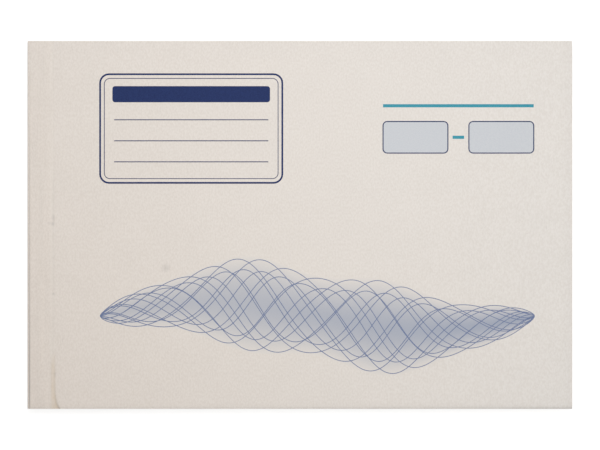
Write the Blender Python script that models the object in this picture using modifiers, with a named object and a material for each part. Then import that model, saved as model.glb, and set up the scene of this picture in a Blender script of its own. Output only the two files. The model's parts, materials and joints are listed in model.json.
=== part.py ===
"""Receipt pad: a hundred perforated receipts, stapled through their stubs into a wrap-round card cover.

The pad lies on its back panel, and the origin is the middle of its underside. +X points from the
spine to the fore edge, +Y to the head of the page and +Z out of the front cover. Sizes are in metres.
"""

import math

import bmesh
import bpy
from mathutils import Matrix, Vector

# Sheets
LEAF_LENGTH = 0.148  # perforation to fore edge
PAD_HEIGHT = 0.105  # tail to head
RECEIPT_COUNT = 100
SINGLE_RECEIPTS = 10  # topmost receipts, which turn one by one
PACK_SIZE = 10  # receipts that turn together further down
PAPER_THICKNESS = 0.00008
SHEET_AIR = 0.00001  # air left between two pressed sheets

# Perforation
BOUND_MARGIN = 0.0075  # outer face of the spine to the perforation
TIE_PITCH = 0.008  # from one paper tie to the next
TIE_WIDTH = 0.0015
SLIT_WIDTH = 0.00015
TEAR_GAP = 0.00002  # between the tip of a tie and its stub

# Card cover
CARD_THICKNESS = 0.0003
FOLD_RADIUS = 0.00015  # inside of the two folds along the spine
FOLD_STEPS = 6
CREASE_GAP = 0.0002  # between the bound strip and the panel that turns
CREASE_WIDTH = 0.0008  # card pressed down on each side of the crease
CREASE_DEPTH = 0.00005
HINGE_RISE = 0.00005  # turning axis above the face of the cover

# Board and glue
BOARD_THICKNESS = 0.001
SPINE_GLUE_THICKNESS = 0.0002
STRIP_GLUE_THICKNESS = 0.00004
STRIP_GLUE_MARGIN = 0.001  # clear card between the glue and the crease
SEAT_GAP = 0.00002  # between two pieces that lie on each other

# Staples
WIRE_DIAMETER = 0.0005
CROWN_LENGTH = 0.012  # from leg to leg
CLINCH_LENGTH = 0.0035
BEND_RADIUS = 0.0005
BEND_STEPS = 4
STAPLE_SPACING = 0.055
STAPLE_INSET = 0.0038  # outer face of the spine to the wire
WIRE_CLEARANCE = 0.0001
HOLE_SIDES = 6
CUT_OVERRUN = 0.0005  # how far a cutter stands out of the piece it cuts

# Places across the pad
PAD_WIDTH = BOUND_MARGIN + LEAF_LENGTH
SPINE_X = -PAD_WIDTH / 2
FORE_X = PAD_WIDTH / 2
PERFORATION_X = SPINE_X + BOUND_MARGIN
GLUE_X = SPINE_X + CARD_THICKNESS + SEAT_GAP
BLOCK_X = GLUE_X + SPINE_GLUE_THICKNESS + SEAT_GAP
STAPLE_X = SPINE_X + STAPLE_INSET
HALF_HEIGHT = PAD_HEIGHT / 2

# Levels, from the table up
SHEET_PITCH = PAPER_THICKNESS + SHEET_AIR
BOARD_BOTTOM = CARD_THICKNESS + SEAT_GAP
BOARD_TOP = BOARD_BOTTOM + BOARD_THICKNESS
BLOCK_BOTTOM = BOARD_TOP + SEAT_GAP
BLOCK_TOP = BLOCK_BOTTOM + RECEIPT_COUNT * SHEET_PITCH - SHEET_AIR
STRIP_GLUE_BOTTOM = BLOCK_TOP + SEAT_GAP
COVER_BOTTOM = STRIP_GLUE_BOTTOM + STRIP_GLUE_THICKNESS + SEAT_GAP
PAD_TOP = COVER_BOTTOM + CARD_THICKNESS
HINGE_Z = PAD_TOP + HINGE_RISE

# Staple wire, in its slot at the top and its grooves at the bottom
WIRE_RADIUS = WIRE_DIAMETER / 2
HOLE_RADIUS = WIRE_RADIUS + WIRE_CLEARANCE
CROWN_Z = BLOCK_TOP - WIRE_RADIUS
CROWN_SLOT_BOTTOM = CROWN_Z - WIRE_RADIUS
CLINCH_Z = BOARD_BOTTOM + WIRE_RADIUS
GROOVE_TOP = CLINCH_Z + HOLE_RADIUS


def clear_scene():
    for old in list(bpy.data.objects):
        bpy.data.objects.remove(old)


def new_collection(name):
    collection = bpy.data.collections.new(name)
    bpy.context.scene.collection.children.link(collection)
    return collection


def new_material(name, colour, roughness, metallic=0.0):
    made = bpy.data.materials.new(name)
    made.use_nodes = True
    shader = made.node_tree.nodes["Principled BSDF"]
    shader.inputs["Base Color"].default_value = (*colour, 1.0)
    shader.inputs["Roughness"].default_value = roughness
    shader.inputs["Metallic"].default_value = metallic
    return made


def add_object(name, data, finish, location=(0.0, 0.0, 0.0), parent=None):
    made = bpy.data.objects.new(name, data)
    parts.objects.link(made)
    made.location = location
    made.parent = parent
    data.materials.append(finish)
    return made


def add_cutter(name, data, location):
    made = bpy.data.objects.new(name, data)
    cutters.objects.link(made)
    made.location = location
    made.hide_render = True
    made.display_type = "WIRE"
    return made


def box_mesh(name, size):
    solid = bmesh.new()
    bmesh.ops.create_cube(solid, size=1.0, matrix=Matrix.Diagonal((*size, 1.0)))
    mesh = bpy.data.meshes.new(name)
    solid.to_mesh(mesh)
    solid.free()
    return mesh


def rod_mesh(name, radius, length):
    solid = bmesh.new()
    bmesh.ops.create_cone(
        solid, cap_ends=True, segments=HOLE_SIDES, radius1=radius, radius2=radius, depth=length
    )
    mesh = bpy.data.meshes.new(name)
    solid.to_mesh(mesh)
    solid.free()
    return mesh


def box_between(low, high):
    """Size and middle of the box between two corners."""
    low, high = Vector(low), Vector(high)
    return high - low, (low + high) / 2


def flat_sheet(name, loops, thickness):
    """Flat outline with holes: the first loop is the edge, the others are cut out."""
    sheet = bpy.data.curves.new(name, "CURVE")
    sheet.dimensions = "2D"
    sheet.fill_mode = "BOTH"
    sheet.extrude = thickness / 2
    for loop in loops:
        spline = sheet.splines.new("POLY")
        spline.points.add(len(loop) - 1)
        spline.use_cyclic_u = True
        for point, (x, y) in zip(spline.points, loop):
            point.co = (x, y, 0.0, 1.0)
    return sheet


def rectangle(low_x, low_y, high_x, high_y):
    return [(low_x, low_y), (high_x, low_y), (high_x, high_y), (low_x, high_y)]


def arc(centre, radius, start_degrees, end_degrees, steps):
    """Points on an arc, both ends included."""
    angles = [
        math.radians(start_degrees + (end_degrees - start_degrees) * step / steps)
        for step in range(steps + 1)
    ]
    return [
        (centre[0] + radius * math.cos(angle), centre[1] + radius * math.sin(angle))
        for angle in angles
    ]


def tie_places():
    """Middles of the paper ties along the perforation, spread evenly about the middle of the pad."""
    count = int(PAD_HEIGHT // TIE_PITCH)
    return [(index - (count - 1) / 2) * TIE_PITCH for index in range(count)]


def leaf_outline():
    """Edge of a receipt, measured from the perforation, with its ties reaching over the slits."""
    root = SLIT_WIDTH
    points = [(root, -HALF_HEIGHT)]
    points.append((LEAF_LENGTH, -HALF_HEIGHT))
    points.append((LEAF_LENGTH, HALF_HEIGHT))
    points.append((root, HALF_HEIGHT))
    for middle in reversed(tie_places()):
        upper = middle + TIE_WIDTH / 2
        lower = middle - TIE_WIDTH / 2
        points += [(root, upper), (0.0, upper), (0.0, lower), (root, lower)]
    return points


def staple_middles():
    return [("upper", STAPLE_SPACING / 2), ("lower", -STAPLE_SPACING / 2)]


def leg_places():
    return [
        middle + side * CROWN_LENGTH / 2
        for _, middle in staple_middles()
        for side in (-1, 1)
    ]


def stub_openings(top):
    """Loops cut from a stub: slots where it lies beside the crowns, and holes for the legs below them."""
    wire_x = STAPLE_X - PERFORATION_X
    if top > CROWN_SLOT_BOTTOM:
        reach = CROWN_LENGTH / 2 + HOLE_RADIUS
        return [
            rectangle(wire_x - HOLE_RADIUS, middle - reach, wire_x + HOLE_RADIUS, middle + reach)
            for _, middle in staple_middles()
        ]
    return [
        arc((wire_x, place), HOLE_RADIUS, 0, 360, HOLE_SIDES)[:-1] for place in leg_places()
    ]


def sheet_groups():
    """Receipts that turn together, from the top: the name, the number of the first and the count."""
    groups = [(f"receipt_{number:03d}", number, 1) for number in range(1, SINGLE_RECEIPTS + 1)]
    for first in range(SINGLE_RECEIPTS + 1, RECEIPT_COUNT + 1, PACK_SIZE):
        last = min(first + PACK_SIZE - 1, RECEIPT_COUNT)
        groups.append((f"receipts_{first:03d}_{last:03d}", first, last - first + 1))
    return groups


def add_hinge(name, parent):
    """Empty on the turning axis. The one below carries it, so a lifted leaf takes along all above it."""
    hinge = bpy.data.objects.new(name, None)
    parts.objects.link(hinge)
    hinge.empty_display_size = BOUND_MARGIN
    hinge.parent = parent
    if parent is None:
        hinge.location = (PERFORATION_X, 0.0, HINGE_Z)
    return hinge


def add_sheets():
    """Leaves and stubs, built from the board up. Returns the hinge of the topmost leaf."""
    hinge = None
    edge = leaf_outline()
    stub_edge = rectangle(BLOCK_X - PERFORATION_X, -HALF_HEIGHT, -TEAR_GAP, HALF_HEIGHT)
    for name, first, count in reversed(sheet_groups()):
        thickness = count * SHEET_PITCH - SHEET_AIR
        top = BLOCK_TOP - (first - 1) * SHEET_PITCH
        middle = top - thickness / 2
        hinge = add_hinge("hinge_" + name, hinge)
        leaf = flat_sheet(name, [edge], thickness)
        add_object(name, leaf, receipt_paper, (0.0, 0.0, middle - HINGE_Z), hinge)
        stub = flat_sheet(name + "_stub", [stub_edge, *stub_openings(top)], thickness)
        add_object(name + "_stub", stub, receipt_paper, (PERFORATION_X, 0.0, middle))
    return hinge


def folded_card(name, profile, location, parent=None):
    """Card of even thickness, grown inwards from the line of its outer face in (x, z)."""
    surface = bmesh.new()
    tail = [surface.verts.new((x, -HALF_HEIGHT, z)) for x, z in profile]
    edges = [surface.edges.new(pair) for pair in zip(tail, tail[1:])]
    swept = bmesh.ops.extrude_edge_only(surface, edges=edges)["geom"]
    head = [item for item in swept if isinstance(item, bmesh.types.BMVert)]
    bmesh.ops.translate(surface, verts=head, vec=(0.0, PAD_HEIGHT, 0.0))
    mesh = bpy.data.meshes.new(name)
    surface.to_mesh(mesh)
    surface.free()
    card = add_object(name, mesh, cover_card, location, parent)
    solidify = card.modifiers.new("card thickness", "SOLIDIFY")
    solidify.thickness = CARD_THICKNESS
    solidify.offset = -1.0
    solidify.use_even_offset = True
    return card


def add_cover_wrap():
    """Bound strip, spine and back panel: one piece of card, folded twice."""
    outer = FOLD_RADIUS + CARD_THICKNESS
    strip_end = PERFORATION_X - CREASE_GAP / 2
    profile = [(strip_end, PAD_TOP - CREASE_DEPTH), (strip_end - CREASE_WIDTH, PAD_TOP)]
    profile += arc((SPINE_X + outer, PAD_TOP - outer), outer, 90, 180, FOLD_STEPS)
    profile += arc((SPINE_X + outer, outer), outer, 180, 270, FOLD_STEPS)
    profile.append((FORE_X, 0.0))
    folded_card("cover_wrap", profile, (0.0, 0.0, 0.0))


def add_front_cover(top_leaf_hinge):
    hinge = add_hinge("hinge_front_cover", top_leaf_hinge)
    root = CREASE_GAP / 2
    profile = [(LEAF_LENGTH, -HINGE_RISE), (root + CREASE_WIDTH, -HINGE_RISE)]
    profile.append((root, -HINGE_RISE - CREASE_DEPTH))
    folded_card("front_cover", profile, (0.0, 0.0, 0.0), hinge)


def add_board():
    """Stiff board under the block, drilled for the legs and grooved below for the clinched ends."""
    size, middle = box_between((BLOCK_X, -HALF_HEIGHT, BOARD_BOTTOM), (FORE_X, HALF_HEIGHT, BOARD_TOP))
    board = add_object("back_board", box_mesh("back_board", size), grey_board, middle)
    groove_height = GROOVE_TOP - BOARD_BOTTOM + CUT_OVERRUN
    groove_z = GROOVE_TOP - groove_height / 2
    hole_length = BOARD_THICKNESS + 2 * CUT_OVERRUN
    groove_length = CROWN_LENGTH + 2 * HOLE_RADIUS
    for name, staple_y in staple_middles():
        groove = box_mesh("groove_" + name, (2 * HOLE_RADIUS, groove_length, groove_height))
        cut(board, add_cutter("groove_" + name, groove, (STAPLE_X, staple_y, groove_z)))
    for number, leg_y in enumerate(leg_places(), 1):
        hole = rod_mesh(f"leg_hole_{number}", HOLE_RADIUS, hole_length)
        cut(board, add_cutter(f"leg_hole_{number}", hole, (STAPLE_X, leg_y, middle.z)))


def cut(solid, cutter):
    boolean = solid.modifiers.new(cutter.name, "BOOLEAN")
    boolean.operation = "DIFFERENCE"
    boolean.solver = "EXACT"
    boolean.object = cutter


def add_glue():
    fold_end = CARD_THICKNESS + FOLD_RADIUS
    low = (GLUE_X, -HALF_HEIGHT, fold_end)
    high = (GLUE_X + SPINE_GLUE_THICKNESS, HALF_HEIGHT, PAD_TOP - fold_end)
    size, middle = box_between(low, high)
    add_object("spine_adhesive", box_mesh("spine_adhesive", size), binding_glue, middle)
    low = (BLOCK_X, -HALF_HEIGHT, STRIP_GLUE_BOTTOM)
    high = (PERFORATION_X - STRIP_GLUE_MARGIN, HALF_HEIGHT, STRIP_GLUE_BOTTOM + STRIP_GLUE_THICKNESS)
    size, middle = box_between(low, high)
    add_object("strip_adhesive", box_mesh("strip_adhesive", size), binding_glue, middle)


def staple_line():
    """Middle line of the wire in (y, z): clinched end, leg, crown, leg, clinched end."""
    leg_y = CROWN_LENGTH / 2
    inner_y = leg_y - BEND_RADIUS
    low_z = CLINCH_Z + BEND_RADIUS
    high_z = CROWN_Z - BEND_RADIUS
    half = [(leg_y - CLINCH_LENGTH, CLINCH_Z)]
    half += arc((inner_y, low_z), BEND_RADIUS, -90, 0, BEND_STEPS)
    half += arc((inner_y, high_z), BEND_RADIUS, 0, 90, BEND_STEPS)
    return half + [(-y, z) for y, z in reversed(half)]


def add_staples():
    for name, staple_y in staple_middles():
        wire = bpy.data.curves.new("staple_" + name, "CURVE")
        wire.dimensions = "3D"
        wire.bevel_depth = WIRE_RADIUS
        wire.bevel_resolution = 2
        wire.use_fill_caps = True
        line = staple_line()
        spline = wire.splines.new("POLY")
        spline.points.add(len(line) - 1)
        for point, (y, z) in zip(spline.points, line):
            point.co = (0.0, y, z, 1.0)
        add_object("staple_" + name, wire, steel_wire, (STAPLE_X, staple_y, 0.0))


clear_scene()
parts = new_collection("receipt_pad")
cutters = new_collection("receipt_pad_cutters")
cover_card = new_material("cover_card", (0.768, 0.716, 0.658), 0.62)
receipt_paper = new_material("receipt_paper", (0.871, 0.855, 0.807), 0.8)
grey_board = new_material("grey_board", (0.305, 0.283, 0.255), 0.9)
binding_glue = new_material("binding_glue", (0.78, 0.74, 0.64), 0.35)
steel_wire = new_material("steel_wire", (0.6, 0.6, 0.61), 0.35, 1.0)
add_cover_wrap()
add_board()
add_glue()
add_staples()
add_front_cover(add_sheets())
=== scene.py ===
"""Looks of the receipt pad: printed card cover, a hundred perforated sheets, board, glue and wire.

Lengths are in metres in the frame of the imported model, with the spine at -X, the head of the page at
+Y and the front cover at +Z. Print is laid out in millimetres from the middle of the pad.
"""

import json
import math
from collections import namedtuple

import bpy
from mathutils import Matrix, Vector, noise

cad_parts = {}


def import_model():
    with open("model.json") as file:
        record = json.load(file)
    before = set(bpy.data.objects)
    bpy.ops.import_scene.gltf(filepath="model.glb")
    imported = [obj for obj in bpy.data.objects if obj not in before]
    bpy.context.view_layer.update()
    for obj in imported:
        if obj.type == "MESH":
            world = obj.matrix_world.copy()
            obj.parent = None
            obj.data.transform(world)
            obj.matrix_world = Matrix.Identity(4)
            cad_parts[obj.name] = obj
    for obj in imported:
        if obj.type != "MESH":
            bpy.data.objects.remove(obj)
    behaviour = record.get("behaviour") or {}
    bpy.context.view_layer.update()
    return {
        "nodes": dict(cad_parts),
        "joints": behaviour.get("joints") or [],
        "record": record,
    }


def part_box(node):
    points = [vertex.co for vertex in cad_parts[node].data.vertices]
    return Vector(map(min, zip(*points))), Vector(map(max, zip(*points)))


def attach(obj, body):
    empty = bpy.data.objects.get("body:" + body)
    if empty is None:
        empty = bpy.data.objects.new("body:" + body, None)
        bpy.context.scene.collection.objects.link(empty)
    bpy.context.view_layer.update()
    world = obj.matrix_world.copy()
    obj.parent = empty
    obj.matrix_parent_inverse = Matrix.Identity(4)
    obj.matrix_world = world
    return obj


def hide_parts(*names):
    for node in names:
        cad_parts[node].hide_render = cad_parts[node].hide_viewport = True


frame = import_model()

MM = 0.001

# Places and names taken from the frame
BODIES = frame["record"]["behaviour"]["bodies"]
BODY_OF = {node: body for body, nodes in BODIES.items() for node in nodes}
RECEIPT_NODES = sorted(name for name in frame["nodes"] if name.startswith("receipt"))
STUB_NODES = [name for name in RECEIPT_NODES if name.endswith("_stub")]
LEAF_NODES = [name for name in RECEIPT_NODES if name not in STUB_NODES]
STAPLE_NODES = sorted(name for name in frame["nodes"] if name.startswith("staple"))
SINGLE_COUNT = sum(name.startswith("receipt_") for name in LEAF_NODES)
JOINTS = {joint["name"]: joint for joint in frame["joints"]}
HINGE = Vector(JOINTS["cover_turn"]["pos_m"])
WRAP_LOW, WRAP_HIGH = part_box("cover_wrap")
LEAF_LOW, LEAF_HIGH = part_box("receipt_001")
STUB_LOW, STUB_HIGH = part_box("receipt_001_stub")
STAPLES = [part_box(node) for node in STAPLE_NODES]
STAPLE_LOW, STAPLE_HIGH = STAPLES[0]
SPINE_X = WRAP_LOW.x
FORE_X = WRAP_HIGH.x
TAIL_Y = WRAP_LOW.y
HEAD_Y = WRAP_HIGH.y
PAD_BOTTOM = WRAP_LOW.z
PAD_TOP = WRAP_HIGH.z
PAPER_THICKNESS = LEAF_HIGH.z - LEAF_LOW.z
SHEET_PITCH = LEAF_HIGH.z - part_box("receipt_002")[1].z
WIRE_X = (STAPLE_LOW.x + STAPLE_HIGH.x) / 2
WIRE_RADIUS = (STAPLE_HIGH.x - STAPLE_LOW.x) / 2

# Card
CARD_THICKNESS = 0.3 * MM
FOLD_RADIUS = 0.36 * MM
FOLD_STEPS = 8
EDGE_REACH = 0.14 * MM  # strip along a cut edge that bends down
EDGE_DROP = 0.04 * MM
CREASE_HALF_GAP = 0.004 * MM
CREASE_DEPTH = 0.02 * MM
CREASE_REACH = 0.55 * MM
COVER_LIFT = 0.45 * MM  # how far the free side of the cover stands up
LIFT_START = 9.0 * MM  # from the crease to where the cover starts to rise
HEAD_LIFT_SHARE = 0.65  # of the lift at the tail
STRIATION_RELIEF = 0.005 * MM
STRIATION_INSET = 0.8 * MM  # from the spine fold to where the striations reach their full height
SPINE_STEP = 1.2 * MM  # between the points of the spine panel and of the bound strip
STRIP_STEP = 0.11 * MM

# Crumpled lower end of the crease, between two lines measured from the crease
CRUMPLE_LENGTH = 16.0 * MM
CRUMPLE_LEFT = -0.70 * MM
CRUMPLE_RIGHT = 0.38 * MM
CRUMPLE_DRIFT = 1.3 * MM  # how far the right line has left the crease at the tail
DRIFT_POWER = 9  # how suddenly it leaves it
CRUMPLE_MARGIN = 0.12 * MM
CRUMPLE_RELIEF = 0.02 * MM

# Wear, painted shade and painted highlight of the card. Depths are shares of the full colour
# # of dirt and painted shade, of stain, or of the painted highlight
HEAD_WARM_SHADE_SHARE = 0.66  # of the painted warm shade at the tail
# Painted shade in the crease
CREASE_SHADE = 0.032
CREASE_SHADE_OFFSET = -0.06 * MM  # from the crease
CREASE_SHADE_WIDTH = 0.42 * MM
CREASE_SHADE_TOP = 18 * MM  # above the middle of the pad
CREASE_SHADE_FADE = 8 * MM
# Painted shade in the crumple's lines
LINE_SHADE = 0.06  # in the two lines of the crumple
LINE_TAIL_SHADE = 0.34  # added to the right one at the tail
TAIL_POWER = 5  # how suddenly the right line's painted shade and stain deepen there
LEFT_LINE_WIDTH = 0.2 * MM
RIGHT_LINE_WIDTH = 0.33 * MM
# Stain in the crumple
CRUMPLE_STAIN = 0.2
LINE_STAIN = 0.17  # added beside the right line at the tail
LINE_STAIN_OFFSET = -0.25 * MM  # from the right line
LINE_STAIN_WIDTH = 0.5 * MM
# Painted highlight along the crease
CREASE_HIGHLIGHT = 0.22
CREASE_HIGHLIGHT_OFFSET = -0.55 * MM  # from the crease
CREASE_HIGHLIGHT_WIDTH = 0.6 * MM
# Painted shade along the tail, darker towards the fore edge
TAIL_SHADE = 0.17
TAIL_FORE_SHADE = 0.3  # added at the fore edge
TAIL_SHADE_REACH = 0.45 * MM
# A faint darker rim along the fore edge
FORE_DARKENING = 0.05
FORE_DARKENING_REACH = 0.3 * MM
# Painted shade and dirt along the spine fold
FOLD_SHADE_AND_DIRT = 0.03
FOLD_TAIL_SHADE_AND_DIRT = 0.58  # added at the tail
FOLD_TAIL_POWER = 1.3
FOLD_LINE_INSET = 0.57 * MM  # from the spine
FOLD_LINE_WIDTH = 0.2 * MM
FOLD_END_FADE = 0.6  # taken off again at the very tail
FOLD_END_REACH = 1.5 * MM
# Glue under the bound strip
GLUED_DIRT = 0.017
GLUED_EDGE = 4.15 * MM  # from the spine
GLUED_FADE = 0.25 * MM
SPINE_STREAKS = 0.35  # share of the glue streaks that shows on the spine and the back

# Smudges on the cover, in mm right of the crease and above the middle of the pad
Smudge = namedtuple("Smudge", "right up half_wide half_high depth")
SMUDGES = (
    Smudge(32.0, -12.3, 1.8, 1.8, 0.17),
    Smudge(-0.1, 2.0, 0.6, 1.5, 0.17),
    Smudge(-0.2, 0.3, 0.7, 0.9, 0.21),
    Smudge(-1.0, 0.5, 1.2, 0.7, 0.08),
    Smudge(0.0, -19.7, 0.85, 0.65, 0.15),
    Smudge(0.3, -42.7, 0.65, 1.1, 0.12),
)

# Paper
SLIT_WIDTH = 0.15 * MM
TIE_WIDTH = 1.0 * MM
TIE_PITCH = 4.0 * MM
LEAF_STEP = 6 * MM  # between the points of a leaf that can curve
SHEET_LIFT_SHARE = 0.9  # of the cover's lift, for a sheet right under it
SHEET_LIFT_POWER = 1.5  # how fast that falls from sheet to sheet
FORE_TRIM = 0.16 * MM  # most that a sheet stays back from the pad's edges
END_TRIM = 0.09 * MM
MEAN_TRIM = 0.45  # as a share of the most, and how far batches and single sheets differ from it
BATCH_TRIM = 0.55
SINGLE_TRIM = 0.3
TAIL_SIDE, HEAD_SIDE, FORE_SIDE = 1, 2, 3
WIRE_ROOM = 0.1 * MM
HOLE_RADIUS = WIRE_RADIUS + WIRE_ROOM
CROWN_DEPTH_SHEETS = 6  # sheets that the staple crowns are pressed into

# Ink
INK_RISE = 0.012 * MM
INK_THICKNESS = 0.02 * MM
OVERPRINT_RISE = 0.004 * MM  # ink printed over other ink
STRAND_RISE = 0.0006 * MM  # from one crossing strand to the next
FORM_INK_RISE = 0.004 * MM
FORM_INK_THICKNESS = 0.008 * MM
FORM_OVERPRINT_RISE = 0.002 * MM

# Print of the cover, in mm
PRINT_STEP = 2.0  # between the points of a line
CORNER_TURNS = range(0, 91, 15)  # degrees, at the points of a round corner
RIBBON_START = -57.0
RIBBON_STOP = 67.0
RIBBON_LEVEL = -26.0
RIBBON_SWAY = 4.0
RIBBON_HALF_WIDTH = 13.0
RIBBON_TIP = 0.15
RIBBON_TAPER_POWER = 0.7
RIBBON_SWELLS = 3
RIBBON_SWELL = 0.14  # as a share of its width
RIBBON_STEP = 1.5
RIBBON_SHARE_STEP = 0.08  # across half its width
SHADE_POWER = 1.6
START_SHADE = 0.55  # of the shade at the ribbon's end
STRAND_FAMILIES = ((58.0, 0.96), (-41.0, 0.72))  # wavelength, and share of the ribbon's width
FAMILY_STRANDS = 7
STRAND_LINE = 0.2
STRAND_STEP = 0.6
LABEL_CENTRE = (-31.0, 27.5)
LABEL_SIZE = (52.0, 31.0)
LABEL_RADIUS = 2.5
LABEL_LINE = 0.5
INNER_FRAME_INSET = 1.2
INNER_FRAME_RADIUS = 1.6
INNER_FRAME_LINE = 0.2
BAND_LEVEL = 37.3
BAND_SIZE = (45.0, 4.6)
BAND_RADIUS = 0.8
LABEL_WRITING_ENDS = (-53.0, -9.0)
LABEL_WRITING_LEVELS = (30.0, 24.0, 18.0)
WRITING_LINE = 0.25
NUMBER_BOX_CENTRES = ((33.0, 25.0), (57.5, 25.0))
NUMBER_BOX_SIZE = (18.5, 9.0)
BOX_RADIUS = 1.2
BOX_LINE = 0.3
ACCENT_LINE = 0.9
ACCENT_DASH = ((43.6, 25.0), (46.9, 25.0))  # from end to end
ACCENT_RULE = ((23.75, 34.0), (66.75, 34.0))

# Print of a receipt, in mm
FORM_STEP = 6.0
FORM_CENTRE_X = (LEAF_LOW.x + LEAF_HIGH.x) / 2 / MM
FORM_SIZE = (140.0, 96.0)
FORM_RADIUS = 2.5
FORM_LINE = 0.4
HEADING_LEVEL = 39.0
HEADING_SIZE = (136.0, 7.0)
AMOUNT_CENTRE = (54.0, -27.5)
AMOUNT_SIZE = (36.0, 10.0)
FORM_WRITING_ENDS = (-60.0, 68.0)
FORM_WRITING_LEVELS = (25.0, 14.0, 3.0, -8.0)
SIGNING_ENDS = ((-60.0, -20.0), (-12.0, 28.0))
SIGNING_LEVEL = -32.5

# Stage
PHOTO_WIDTH_AT_COVER = 171.25 * MM  # what the picture takes in
CAMERA_HEIGHT = 1.2  # above the cover
CAMERA_OFFSET = (0.05 * MM, -0.03 * MM)  # from the middle of the pad
SENSOR_WIDTH = 36.0
HORIZON_LIGHT = 1.065
ZENITH_LIGHT = 0.10
FLOOR_HALF_SIZE = 2.0
FLOOR_GAP = 0.02 * MM
FLOOR_TONE = 0.85
NEAR_GLOW = 0.6
FAR_GLOW = 1.0
NEAR_DISTANCE = 0.12
FAR_DISTANCE = 0.8

SHARP_ANGLE = math.radians(35)
NOISE_OFFSET = (0.37, 0.71, 0.53)  # keeps whole numbers off the noise's grid, where it is always zero
NOISE_LOW, NOISE_HIGH = 0.3, 0.7  # where most values of a noise texture lie
MIX_FACTOR, MIX_FIRST, MIX_SECOND, MIX_RESULT = 0, 6, 7, 2  # colour sockets of a Mix node


class Shape:
    """Points and faces of one open surface, added patch by patch and line by line."""

    def __init__(self):
        self.points = []
        self.faces = []
        self.materials = []

    def patch(self, columns, rows, place, keep=None, material=0):
        """Adds a grid of faces.

        place gives the point at a column and a row. keep, asked at the middle of a face, tells whether
        that face is there.
        """
        used = {}

        def corner(column, row):
            if (column, row) not in used:
                used[column, row] = len(self.points)
                self.points.append(place(columns[column], rows[row]))
            return used[column, row]

        for column in range(len(columns) - 1):
            for row in range(len(rows) - 1):
                across = (columns[column] + columns[column + 1]) / 2
                along = (rows[row] + rows[row + 1]) / 2
                if keep is None or keep(across, along):
                    near = (corner(column, row), corner(column + 1, row))
                    far = (corner(column + 1, row + 1), corner(column, row + 1))
                    self.faces.append(near + far)
                    self.materials.append(material)

    def stroke(self, path, width, place, closed=False, material=0):
        """Adds a line of even width along a flat path."""
        count = len(path)
        first = len(self.points)
        for index, (x, y) in enumerate(path):
            before = path[index - 1] if closed or index > 0 else path[index]
            after = path[(index + 1) % count] if closed or index < count - 1 else path[index]
            along = Vector((after[0] - before[0], after[1] - before[1])).normalized()
            across = Vector((along.y, -along.x)) * width / 2
            self.points.append(place(x + across.x, y + across.y))
            self.points.append(place(x - across.x, y - across.y))
        for index in range(count if closed else count - 1):
            near = first + 2 * index
            far = first + 2 * ((index + 1) % count)
            self.faces.append((near, far, far + 1, near + 1))
            self.materials.append(material)


def graded(start, stop, fine, coarse, growth):
    """Stations from start to stop, close together first and then wider apart.

    The last step may be up to half as long again.
    """
    stations = [start]
    step = fine
    while stations[-1] + 1.5 * step < stop:
        stations.append(stations[-1] + step)
        step = min(step * growth, coarse)
    return stations + [stop]


def even(start, stop, step):
    """Stations from start to stop at even distances, no longer than step."""
    count = max(1, math.ceil(abs(stop - start) / step))
    return [start + (stop - start) * index / count for index in range(count + 1)]


def clamp(value, low=0.0, high=1.0):
    """Keeps a value between two limits."""
    return min(high, max(low, value))


def growing(start, share):
    """Grows from a start to 1 as a share goes from 0 to 1."""
    return start + (1 - start) * share


def ridge(offset, width):
    """1 on a line, falling to 0 on both sides of it."""
    return math.exp(-((offset / width) ** 2))


def fading(distance, reach):
    """1 at an edge, falling to 0 away from it."""
    return math.exp(-distance / reach)


def falling(value, middle, width):
    """1 well before a middle and 0 well past it, with a soft step of about the given width."""
    return 0.5 - 0.5 * math.tanh((value - middle) / width)


def noise_at(x, y, x_size, y_size, seed):
    """Smooth noise between about -1 and 1, with patches of the given sizes."""
    place = (x / x_size, y / y_size, seed)
    return noise.noise(Vector([value + offset for value, offset in zip(place, NOISE_OFFSET)]))


def make_piece(name, shape, body, thickness, materials, rim=0, marks=None):
    """Thickens a surface downwards or inwards into a closed piece that moves with a body.

    rim is added to a face's material index to find the material of the cut edge. marks are functions
    whose values at the points of the surface are kept for the materials to read.
    """
    mesh = bpy.data.meshes.new(name)
    mesh.from_pydata(shape.points, [], shape.faces)
    mesh.polygons.foreach_set("material_index", shape.materials)
    for material in materials:
        mesh.materials.append(material)
    for mark, value_at in (marks or {}).items():
        layer = mesh.attributes.new(mark, "FLOAT", "POINT")
        layer.data.foreach_set("value", [value_at(*point) for point in shape.points])
    piece = bpy.data.objects.new(name, mesh)
    bpy.context.scene.collection.objects.link(piece)
    solidify = piece.modifiers.new("thickness", "SOLIDIFY")
    solidify.thickness = thickness
    solidify.offset = -1.0
    solidify.material_offset_rim = rim
    apply_modifiers(piece)
    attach(piece, body)
    return piece


def apply_modifiers(piece):
    """Keeps the result of the modifiers as the mesh, smooth but with its real edges sharp."""
    bpy.context.view_layer.update()
    graph = bpy.context.evaluated_depsgraph_get()
    mesh = bpy.data.meshes.new_from_object(piece.evaluated_get(graph))
    mesh.name = piece.name
    piece.modifiers.clear()
    piece.data = mesh
    mesh.shade_smooth()
    mesh.set_sharp_from_angle(angle=SHARP_ANGLE)


# Shader nodes


def screen(red, green, blue):
    """A colour in sRGB values from 0 to 255, as the linear values that shaders take."""

    def linear(value):
        share = value / 255
        return share / 12.92 if share <= 0.04045 else ((share + 0.055) / 1.055) ** 2.4

    return (linear(red), linear(green), linear(blue), 1.0)


def grey(value):
    """A linear grey."""
    return (value, value, value, 1.0)


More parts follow.
